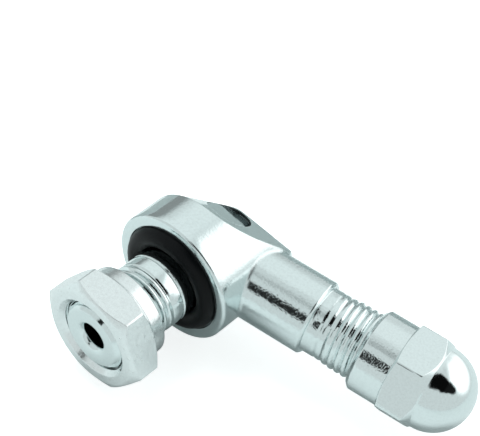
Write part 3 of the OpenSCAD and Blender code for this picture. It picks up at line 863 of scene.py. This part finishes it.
# The tent's walls and openings, each as its brightness, the softness of its edge in degrees
# and its (elevation, azimuth) corners; what no patch covers is plain white cloth
TENT_WHITE = 0.80
TENT_PALE = 1.0
TENT_BRIGHT = 1.42
TENT_DIM = 0.52
TENT_GAP = 0.34
TENT_SLOT = 0.02
OPENING_EDGE = 0.012
OPENING_DARK = 0.004
TENT_PATCHES = [
    # bright back wall, and the paler wall beside it
    (TENT_BRIGHT, 9, [(2, 124), (20, 104), (60, 104), (66, 150), (54, 192), (2, 192)]),
    (TENT_PALE, 9, [(26, 188), (86, 188), (86, 262), (22, 262)]),
    # grey gap low on the left, and a dim fold high at the front
    (TENT_GAP, 6, [(-12, 205), (15, 205), (15, 262), (-12, 262)]),
    (TENT_DIM, 7, [(61, -30), (72, -40), (76, 0), (62, 4)]),
    # dark opening that the camera looks through, in three parts
    (OPENING_DARK, 3, [(86, -14), (73, -8), (58, 4), (48, 9), (48, 45),
                       (52, 106), (66, 111), (74, 125), (82, 156)]),
    (OPENING_DARK, 3, [(56, 38), (43, 50), (37, 76), (56, 107)]),
    (OPENING_EDGE, 3, [(44, 64), (28.5, 91), (28, 100), (34, 106), (56, 107)]),
    # narrow slot at the front
    (TENT_SLOT, 2.5, [(44, -13), (44, 2.5), (21, 3.5), (21, -11)])]
world = bpy.data.worlds.new("light_tent")
bpy.context.scene.world = world
world.use_nodes = True
tree = world.node_tree
tree.nodes.clear()
tent_way = add_node(tree, "ShaderNodeTexCoord").outputs["Generated"]


def tent_patch(corners, softness):
    """1 inside a patch of the tent with the given corners, 0 outside."""
    spots = [toward(*corner) for corner in corners]
    middle = sum(spots, Vector()) / len(spots)
    blur = math.sin(math.radians(softness))
    inside = 1.0
    for a, b in zip(spots, spots[1:] + spots[:1]):
        edge = a.cross(b).normalized()
        edge *= math.copysign(1, edge.dot(middle))
        depth = add_node(tree, "ShaderNodeVectorMath", {0: tent_way, 1: edge}, operation="DOT_PRODUCT")
        side = add_node(tree, "ShaderNodeMapRange", {
            "Value": depth.outputs["Value"], "From Min": -blur, "From Max": blur},
            interpolation_type="SMOOTHSTEP")
        inside = add_node(tree, "ShaderNodeMath", {
            0: inside, 1: side.outputs[0]}, operation="MULTIPLY").outputs[0]
    return inside


# Sockets 2 and 3 of a Mix node are the two numbers that it mixes
NUMBER_A, NUMBER_B = 2, 3
level = TENT_WHITE
for brightness, softness, corners in TENT_PATCHES:
    level = add_node(tree, "ShaderNodeMix", {
        0: tent_patch(corners, softness), NUMBER_A: level, NUMBER_B: brightness}).outputs[0]
bright = add_node(tree, "ShaderNodeMapRange", {
    "Value": level, "From Min": TENT_PALE, "From Max": TENT_BRIGHT})
cloth = add_node(tree, "ShaderNodeMix", {
    0: bright.outputs[0], COLOUR_A: linear("#EEF6F6"), COLOUR_B: linear("#FFFFFF")}, data_type="RGBA")
tent = add_node(tree, "ShaderNodeBackground", {"Color": cloth.outputs[COLOUR_OUT], "Strength": level})
white = add_node(tree, "ShaderNodeBackground", {"Color": linear("#FFFFFF"), "Strength": 1.0})
ray = add_node(tree, "ShaderNodeLightPath").outputs
seen = add_node(tree, "ShaderNodeMath", {
    0: ray["Is Camera Ray"], 1: ray["Is Transmission Ray"]}, operation="MAXIMUM")
mixed = add_node(tree, "ShaderNodeMixShader", {0: seen.outputs[0], 1: tent.outputs[0], 2: white.outputs[0]})
add_node(tree, "ShaderNodeOutputWorld", {"Surface": mixed.outputs[0]})

# Camera: placed and turned as the photograph was taken, in millimetres; its clipping in metres
CAMERA_AT = Vector((61.461, -81.43, 130.531))
CAMERA_RIGHT = Vector((0.72411, 0.67615, 0.13601))
CAMERA_AHEAD = Vector((-0.36238, 0.54077, -0.75911))
SENSOR_MM = 36.0
FOCAL_PX = 1586.125
IMAGE_W = 480
CLIP_NEAR = 0.005
CLIP_FAR = 20.0
back_way = -CAMERA_AHEAD.normalized()
right_way = (CAMERA_RIGHT - CAMERA_RIGHT.dot(back_way) * back_way).normalized()
up_way = back_way.cross(right_way)
view = bpy.data.cameras.new("camera")
view.sensor_fit = "HORIZONTAL"
view.sensor_width = SENSOR_MM
view.lens = FOCAL_PX * SENSOR_MM / IMAGE_W
view.clip_start = CLIP_NEAR
view.clip_end = CLIP_FAR
camera = bpy.data.objects.new("camera", view)
bpy.context.scene.collection.objects.link(camera)
turned_camera = Matrix((right_way, up_way, back_way)).transposed().to_4x4()
camera.matrix_world = Matrix.Translation(CAMERA_AT * MM) @ turned_camera
bpy.context.scene.camera = camera
bpy.context.scene.view_settings.view_transform = "Standard"
